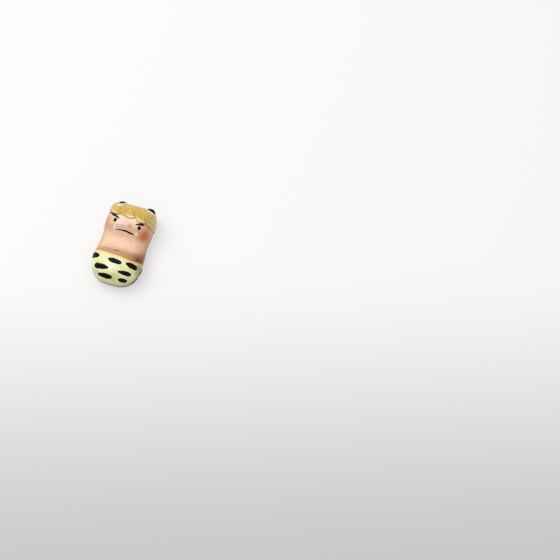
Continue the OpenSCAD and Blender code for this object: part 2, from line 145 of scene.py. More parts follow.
# Painted lines: full width, then a row of places across and along, with the share of the width at each
BROW_STROKE = 1.15 * MM
MOUTH_STROKE = 0.95 * MM
LINES = {
    "left_brow": (BROW_STROKE, (
        (-0.72, 0.638, 0.3), (-0.61, 0.608, 0.5), (-0.52, 0.575, 0.7), (-0.432, 0.54, 1),
        (-0.375, 0.522, 1.15), (-0.323, 0.504, 0.9), (-0.27, 0.484, 0.8), (-0.215, 0.459, 0.7),
    )),
    "right_brow": (BROW_STROKE, (
        (0.262, 0.406, 0.5), (0.325, 0.428, 0.75), (0.373, 0.449, 1.05), (0.423, 0.463, 1.2),
        (0.465, 0.473, 1.1), (0.505, 0.477, 0.8),
    )),
    "mouth_line": (MOUTH_STROKE, (
        (-0.24, 0.205, 0.35), (-0.193, 0.218, 0.5), (-0.13, 0.225, 0.65), (-0.07, 0.226, 0.85),
        (-0.01, 0.225, 1.05), (0.05, 0.226, 1.2), (0.103, 0.219, 1.25), (0.155, 0.212, 1.25),
        (0.208, 0.208, 1.1), (0.28, 0.195, 0.6),
    )),
}
LINE_POWER = 12

# The slip in the scallops of the fringe: from where to where across, how far inside the edge, width and tips
CURL_SPANS = ((-0.62, -0.28), (-0.07, 0.165), (0.195, 0.5))
CURL_INSET = 0.024
CURL_STROKE = 0.9 * MM
CURL_TIP = 0.12

# Height of every painted mark over its coat, and depth of its root inside the coat
ENAMEL = 0.15 * MM
ENAMEL_ROOT = 0.06 * MM

# Painted dots: place, length along the body, width and turn in degrees
DOTS = {
    "left_eye": ((-0.31, 0.399), 2.3 * MM, 1.8 * MM, 84),
    "right_eye": ((0.395, 0.356), 2 * MM, 1.8 * MM, 90),
    "left_fang": ((-0.288, 0.253), 3.3 * MM, 1.3 * MM, 84),
    "right_fang": ((0.345, 0.226), 2.6 * MM, 1.35 * MM, 100),
    "navel": ((-0.006, -0.305), 3 * MM, 0.9 * MM, 14),
}
DOT_WAVER = 0.04

# Stripes: place across and along, shares of the full length and width, turn in degrees, and how much
# fuller the right end is than the middle
STRIPE_LENGTH = 7.6 * MM
STRIPE_WIDTH = 2.8 * MM
STRIPE_WAVER = 0.05
STRIPES = (
    (-0.605, -0.512, 0.86, 1.06, -3, -0.2), (0.043, -0.565, 0.96, 0.86, -4, 0),
    (-0.345, -0.745, 1.08, 1.02, 0, -0.22), (0.548, -0.549, 0.93, 0.95, -1, 0.1),
    (0.437, -0.753, 0.94, 0.82, 6, 0.22), (-0.22, -0.91, 1.04, 1.04, -1, 0.2),
    (0.549, -0.9, 0.63, 0.95, 9, 0.1), (-1.24, -0.76, 0.6, 0.75, 84, 0),
    (1.25, -0.74, 0.6, 0.75, 96, 0), (-1.22, -0.52, 0.48, 0.75, 98, 0), (1.2, -0.51, 0.48, 0.75, 82, 0),
)
DASH_POWER = 2.4

# The ends of a dash bend one way on the left of the body and the other way on the right. A dash this near the
# middle counts as right.
DASH_BEND = 0.6
DASH_LEVEL = 0.4
NEAR_MIDDLE = 0.01

# Horns: place, lean as an arrow (across, to the crown, up), turn in degrees and width, then the height of the
# cap and how much further down its left end comes
HORNS = {
    "left": (((-0.34, 0.86), (0, 0.8, 0.4), 50, 5 * MM), 0.46 * MM, 0),
    "right": (((0.62, 0.885), (0.42, 0.75, 0.4), -29, 5.6 * MM), 0.94 * MM, 0.3),
}
HORN_THICKNESS = 3 * MM
HORN_HEIGHT = 1.5 * MM

# Shares of a horn's height, and how much wider than the horn its foot and its cap are
HORN_ROOT = -0.12
HORN_TOP = 0.99
HORN_FLARE = 0.07
FLARE_HEIGHT = 0.1
CAP_PROUD = 0.035
CAP_TALLER = 0.3
CAP_LINING = 0.97
CAP_WAVER = 0.02

# Gloss of the glazes, most of which the shader's coat carries
BODY_GLOSS = 0.15
COAT_ROUGHNESS = 0.15
GLASS_INDEX = 1.5
GLEAM_RANGE = 0.15

# Grain, depth and strength of a glaze's fine pitting, and grain of the noise that breaks a daub's edge
PITTING = (0.5 * MM, 0.02 * MM, 0.35)
PATCH_CLOUD = 2.2 * MM

# The floor, the sky and the lamp
FLOOR_HALF = 2
FLOOR_FORWARD = (0.27, -0.96)
# Length over which the floor's colour greys toward the front, a painted falloff of the light
FLOOR_PAINTED_FALLOFF = 170 * MM
SKY_SHADES = (0.35, 0.9)
LAMP_PLACE = Vector((-0.42, 0.14, 0.8))
LAMP_WIDTH = 0.8
LAMP_WATTS = 3.8

# Steps of the meshes, and the distance within which two points are one
DOME_COLUMNS = 151
WALL_COLUMNS = 16
SOLE_COLUMNS = 25
SKIN_ROWS = 130
SKIN_END = 0.01
COAT_ROW = 0.21 * MM
CLAY_ROW = 0.4 * MM
EDGE_STEPS = tuple(step * MM for step in (0.02, 0.06, 0.12, 0.2, 0.3, 0.42, 0.58, 0.78))
FOOT_CREASE = 30
DASH_STEPS = (49, 15)
LINE_STEPS = (81, 11)
CURL_PLACES = 13
HORN_COLUMNS = 97
NUB_ROWS = 34
CAP_ROWS = 26
RIDGE_STOPS = 1201
WAY_STOPS = 6001
END_POWER = 7
LAST_STEP = 0.06
SLOPE_STEP = 0.004
SAME_PLACE = 0.00004 * MM

# Where rows close, slopes vanish: the least slope, steepness and share of a distance that are kept there
LEAST_SLOPE = 0.5 * MM
LEAST_STEEPNESS = 0.000001
LEAST_SHARE = 0.5


def set_camera():
    """The photograph's camera: it looks from its place to its target with +Z upward, at plain colours."""
    camera = bpy.data.objects.new("camera", bpy.data.cameras.new("camera"))
    camera.data.sensor_width = SENSOR_WIDTH
    camera.data.lens = SENSOR_WIDTH * FOCAL_PIXELS / IMAGE_PIXELS
    camera.data.clip_start = NEAREST_SEEN
    camera.location = CAMERA_PLACE
    camera.rotation_euler = (CAMERA_TARGET - CAMERA_PLACE).to_track_quat("-Z", "Y").to_euler()
    bpy.context.scene.collection.objects.link(camera)
    bpy.context.scene.camera = camera
    bpy.context.scene.view_settings.view_transform = "Standard"


def smooth(share):
    """An even ramp from 0 to 1 with level ends: 3u^2 - 2u^3, held outside 0 to 1."""
    u = np.clip(share, 0, 1)
    return u * u * (3 - 2 * u)


def ripples(waves, *coordinates):
    """A sum of waves, each h sin(start + the sum of its paces times the coordinates)."""
    return sum(height * np.sin(sum(pace * c for pace, c in zip(paces, coordinates)) + start)
               for height, start, *paces in waves)


def crowded(count):
    """Shares from -1 to 1 that crowd toward both ends: the sine of even steps of a half turn."""
    return np.sin(np.linspace(-1, 1, count) * QUARTER)


def run_length(points):
    """Length of a line of points from its start to each of them."""
    return np.concatenate([[0], np.cumsum(np.linalg.norm(np.diff(points, axis=0), axis=-1))])


def plan_fullness(along):
    """Power of the plan's superellipse, which is fuller at the crown than at the seat."""
    return np.where(along < 0, SEAT_FULLNESS, CROWN_FULLNESS)


def plan_half(along, depth):
    """Half width of the plan: a superellipse, drawn in at the waist and tapered toward the crown."""
    power = plan_fullness(along)
    waist = 1 - WAIST_SHARE * np.exp(-((along - WAIST_PLACE_SHARE) / WAIST_REACH_SHARE) ** 2)
    taper = 1 - CROWN_TAPER_SHARE * np.maximum(along, 0) ** 2
    closing = np.maximum(1 - np.abs(along) ** power, 0) ** (1 / power)
    return (HALF_WIDTH - depth) * waist * taper * closing


def ridge(y):
    """Height of the ridge line: a smooth climb from the legs to the head, less the dip, d (1 - u^3)^2."""
    climb = smooth(0.5 + y / NECK_LENGTH)
    off = np.clip(np.abs(y + DIP_OFFSET) / (DIP_LENGTH / 2), 0, 1)
    return LEGS_HEIGHT + (HEAD_HEIGHT - LEGS_HEIGHT) * climb - DIP_DEPTH * (1 - off ** 3) ** 2


def bump(x, y, place, height, radius):
    """A round rise, h exp(-(distance / r)^2), about a place given in shares."""
    away = np.hypot(x - place[0] * HALF_WIDTH, y - place[1] * HALF_LENGTH)
    return height * np.exp(-(away / radius) ** 2)


def dome(across, along, depth):
    """Upper half: x = plan half width times sin(90 across), and z rises from the widest line to the ridge
    line as (1 - out^n)^(1/n), where out is the superellipse radius of the place in the plan."""
    power = plan_fullness(along)
    s = np.sin(np.clip(across, -1, 1) * QUARTER)
    x = plan_half(along, depth) * s
    y = (HALF_LENGTH - depth) * along
    reach = np.abs(along) ** power
    out = (np.abs(s) ** power * (1 - reach) + reach) ** (1 / power)
    rise = np.maximum(1 - out ** SECTION_FULLNESS, 0) ** (1 / SECTION_FULLNESS)
    moulding = (bump(x, y, NOSE_PLACE, NOSE_HEIGHT, NOSE_RADIUS)
                + bump(np.abs(x), y, CHEEK_PLACE, CHEEK_HEIGHT, CHEEK_RADIUS))
    z = GIRTH_HEIGHT + (ridge(y) - depth - GIRTH_HEIGHT + moulding) * rise
    return np.stack([x, y, z], axis=-1)


def wall(across, along, depth):
    """Lower half: from the widest line the wall falls as a sine and tucks in as one less a cosine."""
    x = np.sign(across) * plan_half(along, depth)
    y = (HALF_LENGTH - depth) * along
    fall = (np.maximum(np.abs(across), 1) - 1) * QUARTER
    pull = 1 - FOOT_TUCK * (1 - np.cos(fall)) / np.hypot(x, y)
    z = GIRTH_HEIGHT - (GIRTH_HEIGHT + FOOT_GRIND) * np.sin(fall)
    return np.stack([x * pull, y * pull, z], axis=-1)


def on_body(across, along, depth=0):
    """Points of the body at places given in shares, a depth under its plain outside."""
    across, along, depth = np.broadcast_arrays(np.asarray(across, float), along, depth)
    upper = (np.abs(across) <= 1)[..., None]
    return np.where(upper, dome(across, along, depth), wall(across, along, depth))


def share_at_height(height):
    """The share across at which the wall comes down to a height: the sine fall turned round."""
    return 1 + math.asin((GIRTH_HEIGHT - height) / (GIRTH_HEIGHT + FOOT_GRIND)) / QUARTER


def slopes(across, along):
    """Arrows of one share across and of one share along, from points a small step to either side."""
    step = SLOPE_STEP
    sideways = on_body(across + step, along) - on_body(across - step, along)
    lengthways = on_body(across, along + step) - on_body(across, along - step)
    return sideways / (2 * step), lengthways / (2 * step)


def moved(across, along, x, y):
    """The place a distance x across and y along from another, by the lengths of the two slopes there."""
    sideways, lengthways = slopes(across, along)
    return (across + x / np.linalg.norm(sideways, axis=-1),
            along + y / np.linalg.norm(lengthways, axis=-1))


def turned(place, a, b, degrees):
    """Places a distance a and b from another, once the two are turned about it."""
    c, s = math.cos(math.radians(degrees)), math.sin(math.radians(degrees))
    return moved(*place, a * c - b * s, a * s + b * c)


def curve_through(table, at, breaks=()):
    """A cubic curve through the pairs of a table that never overshoots: at each pair its slope is the
    harmonic mean of the slopes on its two sides. At the breaks it turns sharply."""
    knots, values = table[:, 0], table[:, 1]
    steps = np.diff(values) / np.diff(knots)
    before, after = steps[:-1], steps[1:]
    safe = np.where(before * after > 0, before + after, 1)
    mean = np.where(before * after > 0, 2 * before * after / safe, 0)
    left = np.concatenate([[steps[0]], mean, [steps[-1]]])
    right = left.copy()
    sharp = np.isin(knots[1:-1], breaks)
    left[1:-1][sharp] = before[sharp]
    right[1:-1][sharp] = after[sharp]
    i = np.clip(np.searchsorted(knots, at, side="right") - 1, 0, len(knots) - 2)
    width = knots[i + 1] - knots[i]
    t = (at - knots[i]) / width
    return (values[i] * (1 + 2 * t) * (1 - t) ** 2 + values[i + 1] * t * t * (3 - 2 * t)
            + width * t * (1 - t) * (right[i] * (1 - t) - left[i + 1] * t))


def hairline(across):
    """The lower edge of the hair: scallops that meet in sharp notches at the partings."""
    return curve_through(HAIRLINE, across, HAIR_PARTINGS)


def waistline(across):
    """The upper edge of the trousers, a smooth curve through its table."""
    return curve_through(WAISTLINE, across)


def past_seam(across, along, seam):
    """Distance from a seam toward the crown, to first order: g / |grad g| with g = along - seam(across), the
    gradient being taken on the surface from the lengths of its two slopes and the angle between them. It is
    held to at least half the distance along the body, since the gradient fails where the rows close."""
    sideways, lengthways = slopes(across, along)
    g = along - seam(across)
    turn = -(seam(across + SLOPE_STEP) - seam(across - SLOPE_STEP)) / (2 * SLOPE_STEP)
    e = np.sum(sideways * sideways, axis=-1)
    f = np.sum(sideways * lengthways, axis=-1)
    h = np.sum(lengthways * lengthways, axis=-1)
    steepness = (h * turn ** 2 - 2 * f * turn + e) / np.maximum(e * h - f * f, LEAST_SLOPE ** 4)
    distance = np.abs(g) / np.sqrt(np.maximum(steepness, LEAST_STEEPNESS))
    return np.sign(g) * np.maximum(distance, LEAST_SHARE * HALF_LENGTH * np.abs(g))


def rounding(distance, radius):
    """Share of a coat's full thickness near its edge, a quarter round: (1 - (1 - d/r)^2)^(1/2)."""
    d = np.clip(distance / radius, 0, 1)
    return np.sqrt(1 - (1 - d) ** 2)


def above_foot(across):
    """1 over the upper half, falling smoothly to 0 on the wall, so that the foot stays calm."""
    return smooth((CALM_FOOT - np.abs(across)) / (CALM_FOOT - 1))


def swell(across, along):
    """Slow waves that a poured glaze sets in: crossed sines a few millimetres long."""
    x, y, z = np.moveaxis(on_body(across, along) / MM, -1, 0)
    return GLAZE_SWELL * ripples(SWELL_WAVES, x, y, z) * above_foot(across)


def glaze_edge(along):
    """Share across at which the glaze stops, a wiped line that wavers as it goes round the foot."""
    turn = np.arctan2(plan_half(along, 0), HALF_LENGTH * along)
    return share_at_height(GLAZE_LINE) + EDGE_WAVER * ripples(WIPE_WAVES, turn)


def to_glaze_edge(across, along):
    """Distance up the wall from the edge of the glaze."""
    return (glaze_edge(along) - np.abs(across)) * (GIRTH_HEIGHT + FOOT_GRIND) * QUARTER


def lock_grooves(across, along):
    """Share of the depth of the grooves between the locks of hair. From each parting a groove sweeps up the
    head and toward the middle, as u^0.7 of the share along past the fringe, and dies away on the way up."""
    partings = np.array(HAIR_PARTINGS)[:, None, None]
    up = along - hairline(partings)
    line = partings - np.sign(partings) * GROOVE_SWEEP * np.clip(up, 0, 1) ** GROOVE_POWER
    off = (np.sin(np.clip(across, -1, 1) * QUARTER) - np.sin(line * QUARTER)) * HALF_WIDTH
    start = smooth((up + GROOVE_START) / (2 * GROOVE_START))
    end = smooth((GROOVE_END - up) / (GROOVE_END - GROOVE_START))
    return np.max(np.exp(-(off / GROOVE_WIDTH) ** 2) * start * end, axis=0)


def over_crown(along):
    """Length of the ridge line from the middle of the body to a place along it, on over the crown."""
    stops = 1 - np.linspace(1, 0, RIDGE_STOPS) ** 3
    return np.interp(along, stops, run_length(dome(0, stops, 0)))


def strands(across, along):
    """Share of the depth of fine combed lines that run across the head 1 mm apart and climb a little to the
    right. They wander, start a little way past the fringe, and are deepest on the right-hand locks."""
    x, y = np.moveaxis(on_body(across, along) / MM, -1, 0)[:2]
    way = over_crown(along) / MM - STRAND_CLIMB * x
    comb = 0.5 + 0.5 * np.sin(2 * math.pi * way + STRAND_WANDER * ripples(COMB_WAVES, x, y))
    patchy = 0.55 + 0.45 * smooth((x - 1) / 5) + ripples(FAINT_WAVES, x, y)
    start = smooth(past_seam(across, along, hairline) / STRAND_START - 1)
    return np.clip(comb ** STRAND_POWER * patchy, 0, 1) * start


def edge_waves(across, along):
    """Share of the depth of the grooves that follow the fringe: a bead along its edge, then waves that die
    away up the head, (1 + cos(2 pi d / spacing)) / 2 times e^(-d / reach). There are none on the crown."""
    d = np.maximum(past_seam(across, along, hairline), 0)
    wander = ripples(BEAD_WAVES, across, along) * smooth(d / BEAD_SETTLE)
    wave = 0.5 + 0.5 * np.cos(2 * math.pi * d / BEAD_SPACING + wander)
    start, end = CALM_CROWN
    return wave * np.exp(-d / BEAD_REACH) * smooth((end - along) / (end - start))


def from_curls(across, along):
    """The distance from the middle of each curl, with its radius and its rise."""
    points = on_body(across, along)
    return [(np.linalg.norm(points - on_body(*place), axis=-1), radius, rise)
            for place, radius, rise in CURLS]


def curl_rise(across, along):
    """Height of the curls of the fringe: low round swellings about their middles, h e^(-(distance / r)^4)."""
    return sum(rise * np.exp(-(away / radius) ** 4) for away, radius, rise in from_curls(across, along))


def curl_rim(across, along):
    """Share of the shade in the shallow valley round each curl: e^(-((distance - r) / width)^2)."""
    past = np.array([away - radius for away, radius, rise in from_curls(across, along)])
    return np.max(np.exp(-(past / CURL_VALLEY) ** 2), axis=0)


def hair_relief(across, along):
    """How far the hair lies under the plain form: the curls stand proud, and the grooves are cut in."""
    cut = (GROOVE_DEPTH * lock_grooves(across, along) + BEAD_DEPTH * edge_waves(across, along)
           + STRAND_DEPTH * strands(across, along))
    return (cut - curl_rise(across, along)) * above_foot(across)


def clay_depth(across, along):
    """Depth of the clay: a coat's thickness under the glaze that covers each place."""
    on_head = smooth(past_seam(across, along, hairline) / FRINGE_ROUND)
    on_legs = smooth(-past_seam(across, along, waistline) / WAIST_ROUND)
    return COAT + RELIEF * (1 - on_head - on_legs) + hair_relief(across, along) * on_head


def coated(across, along, full, distance, radius):
    """Depth of a coat's outside: full inside, rolled down to the skin at its seam and to the clay below."""
    seamed = RELIEF + (full + swell(across, along) - RELIEF) * rounding(distance, radius)
    clay = clay_depth(across, along)
    return clay + (seamed - clay) * rounding(to_glaze_edge(across, along), RIM_ROUND)


def hair_depth(across, along):
    """Depth of the outside of the hair, whose edge is rolled at the fringe."""
    return coated(across, along, hair_relief(across, along), past_seam(across, along, hairline), FRINGE_ROUND)


def trouser_depth(across, along):
    """Depth of the outside of the trousers, whose edge is rolled at the waist."""
    return coated(across, along, 0, -past_seam(across, along, waistline), WAIST_ROUND)


def skin_depth(across, along):
    """Depth of the outside of the skin, which passes a little way under the hair and the trousers."""
    rim = rounding(to_glaze_edge(across, along), RIM_ROUND)
    return RELIEF + COAT - COAT * rim + swell(across, along)


def grid_faces(rows, columns):
    """Quads of a grid whose points are numbered row by row."""
    corner = np.arange(rows - 1)[:, None] * columns + np.arange(columns - 1)
    return np.stack([corner, corner + 1, corner + columns + 1, corner + columns], axis=-1).reshape(-1, 4)


def make_piece(name, grids, marks, finish, node, crease=None):
    """A closed piece from grids of points that share their edges: points that coincide are merged, faces are
    turned outward, and each mark is kept as an attribute of the points."""
    points, faces, first = [], [], 0
    for grid in grids:
        rows, columns = grid.shape[:2]
        points.append(grid.reshape(-1, 3))
        faces.append(grid_faces(rows, columns) + first)
        first += rows * columns
    points, faces = np.concatenate(points), np.concatenate(faces)
    mesh = bpy.data.meshes.new(name)
    mesh.vertices.add(len(points))
    mesh.vertices.foreach_set("co", points.ravel())
    mesh.loops.add(faces.size)
    mesh.loops.foreach_set("vertex_index", faces.ravel())
    mesh.polygons.add(len(faces))
    mesh.polygons.foreach_set("loop_start", np.arange(len(faces)) * 4)
    mesh.update(calc_edges=True)
    for mark, values in marks.items():
        kept = mesh.attributes.new(mark, "FLOAT", "POINT")
        kept.data.foreach_set("value", np.concatenate([v.ravel() for v in values]).astype(np.float32))
    shape = bmesh.new()
    shape.from_mesh(mesh)
    bmesh.ops.remove_doubles(shape, verts=shape.verts, dist=SAME_PLACE)
    bmesh.ops.recalc_face_normals(shape, faces=shape.faces)
    shape.to_mesh(mesh)
    shape.free()
    mesh.shade_smooth()
    if crease is not None:
        mesh.set_sharp_from_angle(angle=math.radians(crease))
    piece = bpy.data.objects.new(name, mesh)
    bpy.context.scene.collection.objects.link(piece)
    mesh.materials.append(finish)
    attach(piece, "root")
    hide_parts(node)


def wall_steps():
    """Shares of the way down the wall, which crowd toward the rolled edge of the glaze."""
    return 1 - (1 - np.linspace(0, 1, WALL_COLUMNS + 1)[1:]) ** 2


def columns_to(lowest):
    """Places across in a row of points: even over the dome, then down each wall to a lowest share."""
    down = 1 + (lowest - 1) * wall_steps()
    return np.concatenate([-down[::-1], np.linspace(-1, 1, DOME_COLUMNS), down])


def even_way(start, end, spacing, fine=()):
    """Shares of the way from a seam to an end of the body. They crowd toward the end as 1 - q^7, are spaced
    evenly by the length of the ridge line and the outline together, and begin with fine steps. The last step
    is a long one, so that no slivers gather where the rows close."""
    way = 1 - np.linspace(1, 0, WAY_STOPS) ** END_POWER
    along = start + (end - start) * way
    length = run_length(np.concatenate([on_body(0, along), on_body(1, along)], axis=-1))
    last_fine = fine[-1] if fine else 0
    count = max(int((length[-1] - last_fine) / spacing), 2)
    stops = np.concatenate([[0], fine, np.linspace(last_fine, length[-1], count)])
    way = np.interp(np.unique(stops), length, way)
    return way[(way < 1 - LAST_STEP ** END_POWER) | (way == 1)]


def coat_places(seam, end):
    """Places of a coat from its seam to the end of the body."""
    guide = columns_to(share_at_height(GLAZE_LINE))
    way = even_way(float(seam(np.array(0.0))), end, COAT_ROW, EDGE_STEPS)[:, None]
    return with_wavering_edge(guide, seam(guide) + (end - seam(guide)) * way)


def with_wavering_edge(guide, along):
    """Columns of the wall are stretched so that the last one lies on the wavering edge of the glaze."""
    down = np.maximum(np.abs(guide) - 1, 0) / (share_at_height(GLAZE_LINE) - 1)
    across = np.where(down > 0, np.sign(guide) * (1 + (glaze_edge(along) - 1) * down), guide)
    return across, along


def glaze_skin(finish):
    """The skin: rows run evenly from under the trousers to under the hair."""
    guide = columns_to(share_at_height(GLAZE_LINE))
    low, high = waistline(guide) - UNDERLAP, hairline(guide) + UNDERLAP
    rows = np.linspace(0, 1, SKIN_ROWS)[:, None]
    across, along = with_wavering_edge(guide, low + (high - low) * rows)
    ends = smooth(rows / SKIN_END) * smooth((1 - rows) / SKIN_END)
    under = RELIEF + COAT
    outer = on_body(across, along, under + (skin_depth(across, along) - under) * ends)
    inner = on_body(across, along, under)
    outer[:, [0, -1]] = inner[:, [0, -1]]
    marks = {
        "under_fringe": [-past_seam(across, along, hairline) / MM] * 2,
        "over_waist": [past_seam(across, along, waistline) / MM] * 2,
    }
    make_piece("glazed_skin", [outer, inner], marks, finish, "skin_coat")


def glaze_cap(name, seam, end, depth_of, marks_of, finish, node):
    """The hair or the trousers: from the seam to the end of the body, thinning to nothing at every edge."""
    across, along = coat_places(seam, end)
    outer = on_body(across, along, depth_of(across, along))
    inner = on_body(across, along, clay_depth(across, along))
    outer[:, [0, -1]] = inner[:, [0, -1]]
    outer[0] = inner[0]
    marks = {mark: [values] * 2 for mark, values in marks_of(across, along).items()}
    make_piece(name, [outer, inner], marks, finish, node)


def hair_marks(across, along):
    """What the gold glaze pools in: its grooves, beads and strands, and the valleys round the curls."""
    return {
        "groove": lock_grooves(across, along),
        "strand": strands(across, along),
        "wave": edge_waves(across, along),
        "curl_rim": curl_rim(across, along),
    }


def trouser_marks(across, along):
    """What the straw glaze thins by: distance from the waist in millimetres."""
    return {"from_edge": -past_seam(across, along, waistline) / MM}


def press_clay(finish):
    """The clay body: its outside under the glaze, its bare wall below, and the flat foot."""
    to_seat = -even_way(0, 1, CLAY_ROW)[::-1]
    to_crown = even_way(0, 1, CLAY_ROW)[1:]
    along = np.concatenate([to_seat, to_crown])[:, None]
    across = columns_to(share_at_height(0)) * np.ones_like(along)
    outer = on_body(across, along, clay_depth(across, along))
    left, right = outer[:, :1], outer[:, -1:]
    sole = left + (right - left) * np.linspace(0, 1, SOLE_COLUMNS)[None, :, None]
    make_piece("pressed_clay", [outer, sole], {}, finish, "clay_body", FOOT_CREASE)


def brush(name, strokes, depth_of, finish, node):
    """Painted strokes on a coat as one piece, each from its places and their shares of the way to the rim.
    The paint is a low lens, h (1 - share^2)^(1/2), and its root lies just inside the coat."""
    grids, rims = [], []
    for across, along, share in strokes:
        carried = depth_of(across, along)
        body = np.sqrt(np.clip(1 - share ** 2, 0, 1))
        grids += [on_body(across, along, carried - ENAMEL * body),
                  on_body(across, along, carried + ENAMEL_ROOT * body)]
        rims += [share, share]
    make_piece(name, grids, {"rim": rims}, finish, node)


def dash_places(place, length, width, turn, uneven, fuller=0):
    """Places of a pointed dash: half its width goes as (1 - |u|^p)^(1/2) (1 + f u) along its length, with a
    slight waver and bend, and the whole is turned about its place. The share of the way to the rim is
    1 - (1 - |w|^3) (1 - |u|^6), with w across the dash."""
    u, w = crowded(DASH_STEPS[0])[:, None], crowded(DASH_STEPS[1])[None, :]
    waver = 1 + uneven * ripples(BRUSH_WAVES, u, place[0], w, place[1])
    half = width / 2 * np.sqrt(np.clip(1 - np.abs(u) ** DASH_POWER, 0, 1)) * (1 + fuller * u) * waver
    bend = uneven * width * DASH_BEND * (u * u - DASH_LEVEL) * np.sign(place[0] + NEAR_MIDDLE)
    across, along = turned(place, length / 2 * u, half * w + bend, turn)
    share = 1 - (1 - np.abs(w) ** 3) * (1 - np.abs(u) ** 6)
    return across, along, share


def line_places(table, width):
    """Places of a painted line: a smooth run through the places of a table, set out to either side by its
    share of the stroke's width, with rounded ends."""
    table = np.array(table)
    knots = np.linspace(0, 1, len(table))
    at = (1 - np.cos(np.linspace(0, 1, LINE_STEPS[0]) * math.pi)) / 2
    across, along, share = (curve_through(np.stack([knots, column], axis=-1), at) for column in table.T)
    sideways, lengthways = (np.linalg.norm(slope, axis=-1) for slope in slopes(across, along))
    run = np.stack([np.gradient(across) * sideways, np.gradient(along) * lengthways])
    run /= np.linalg.norm(run, axis=0)
    end = np.sqrt(1 - np.abs(2 * at - 1) ** LINE_POWER)
    w = crowded(LINE_STEPS[1])
    off = (width / 2 * share * end)[:, None] * w
    rim = 1 - (1 - np.abs(w) ** 3) * (end ** 2)[:, None]
    return (across[:, None] - run[1][:, None] * off / sideways[:, None],
            along[:, None] + run[0][:, None] * off / lengthways[:, None], rim)


def curl_table(start, end):
    """Places of the slip along one scallop of the fringe, a small way inside its edge. Its width goes as the
    root of a sine, from a narrow tip to a narrow tip."""
    share = np.linspace(0, 1, CURL_PLACES)
    across = start + (end - start) * share
    width = np.maximum(np.sqrt(np.sin(share * math.pi)), CURL_TIP)
    return np.stack([across, hairline(across) + CURL_INSET, width], axis=-1)


def horn_surface(place, lean, turn, width, low, high, rows, fatter=0):
    """A horn: an oval on the hair that narrows as (1 - u^2)^(1/2) along its leaning arrow and flares a
    little at its foot. A cap is fatter, most of all at its lower edge."""
    round_horn = np.linspace(0, 2 * math.pi, HORN_COLUMNS)
    a, b = width / 2 * np.cos(round_horn), HORN_THICKNESS / 2 * np.sin(round_horn)
    oval = on_body(*turned(place, a, b, turn))
    middle = on_body(*place)
    arrow = np.array(lean) / np.linalg.norm(lean)
    u = low + (high - low) * np.sin(np.linspace(0, 1, rows) * QUARTER)[:, None]
    narrow = np.sqrt(np.clip(1 - np.clip(u, 0, 1) ** 2, 0, 1)) + fatter * np.sqrt(np.clip(1 - u, 0, 1))
    flare = 1 + HORN_FLARE * np.exp(-(u / FLARE_HEIGHT) ** 2)
    climb = u * (1 + fatter * CAP_TALLER) * np.ones_like(round_horn)
    return middle + (oval - middle) * (narrow * flare)[..., None] + arrow * HORN_HEIGHT * climb[..., None]


def cap_shares(turn, tilt):
    """How far down the horn its cap comes, as shares of the cap's height: least in front and at its right
    end, 1.1 + 0.18 s - 0.08 s^2 - t c, where s is 1 behind and -1 in front, and c is 1 to the right."""
    s = np.sin(turn)
    return 1.1 + 0.18 * s - 0.08 * s * s - tilt * np.cos(turn)


def gathered(ring):
    """The points of a ring all at its middle, as the row that closes a surface there."""
    return np.broadcast_to(ring.mean(axis=0), ring.shape)[None]


def make_horn(word, horn, cap, tilt, nub_finish, cap_finish):
    """The cream nub of a horn and its dark cap, a thin shell with a brushed lower edge."""
    nub = horn_surface(*horn, HORN_ROOT, HORN_TOP, NUB_ROWS)
    nub = np.concatenate([gathered(nub[0]), nub, gathered(nub[-1])])
    make_piece(f"{word}_horn_nub", [nub], {}, nub_finish, f"{word}_horn")
    turn = np.linspace(0, 2 * math.pi, HORN_COLUMNS)
    waver = CAP_WAVER * np.sin(5 * turn + 3 * horn[0][0])
    low = 1 - cap_shares(turn, tilt) * cap / HORN_HEIGHT + waver
    outside = horn_surface(*horn, low, 1, CAP_ROWS, CAP_PROUD)
    lining = horn_surface(*horn, low, CAP_LINING, CAP_ROWS)
    outside[0] = lining[0]
    grids = [np.concatenate([side, gathered(side[-1])]) for side in (outside, lining)]
    make_piece(f"{word}_horn_cap", grids, {}, cap_finish, f"{word}_horn_tip")


class Link:
    """A socket in a finish's nodes. Sums and products of links and numbers add their Math nodes."""

    def __init__(self, nodes, socket):
        self.nodes = nodes
        self.socket = socket

    def maths(self, operation, first, second):
        """One Math node: an operation on two links or numbers."""
        return self.nodes.node("ShaderNodeMath", {"operation": operation}, {0: first, 1: second})

    def __add__(self, other):
        return self.maths("ADD", self, other)

    def __sub__(self, other):
        return self.maths("SUBTRACT", self, other)

    def __rsub__(self, other):
        return self.maths("SUBTRACT", other, self)

    def __mul__(self, other):
        return self.maths("MULTIPLY", self, other)

    def __truediv__(self, other):
        return self.maths("DIVIDE", self, other)

    def __pow__(self, other):
        return self.maths("POWER", self, other)

    def __rpow__(self, other):
        return self.maths("POWER", other, self)

    __radd__ = __add__
    __rmul__ = __mul__

    def clamped(self):
        """The link held to 0 to 1."""
        return self.nodes.node("ShaderNodeClamp", {}, {"Value": self})

    def ramp(self, low, high):
        """0 below the low value, 1 above the high one, and smooth between; high may be under low."""
        if low > high:
            return 1 - self.ramp(high, low)
        return self.nodes.node("ShaderNodeMapRange", {"interpolation_type": "SMOOTHSTEP"},
                               {"Value": self, "From Min": low, "From Max": high})


class Nodes:
    """The nodes of a finish or of the sky."""

    def __init__(self, tree):
        self.tree = tree

    def node(self, kind, settings, sockets, output=0):
        """Adds a node: first its settings, then the values or links of its sockets."""
        made = self.tree.nodes.new(kind)
        for key, value in settings.items():
            setattr(made, key, value)
        for key, value in sockets.items():
            self.feed(made.inputs[key], value)
        return Link(self, made.outputs[output])

    def feed(self, socket, value):
        """Links a link to a socket, and sets any other value on the socket itself."""
        if isinstance(value, Link):
            self.tree.links.new(value.socket, socket)
        else:
            socket.default_value = value


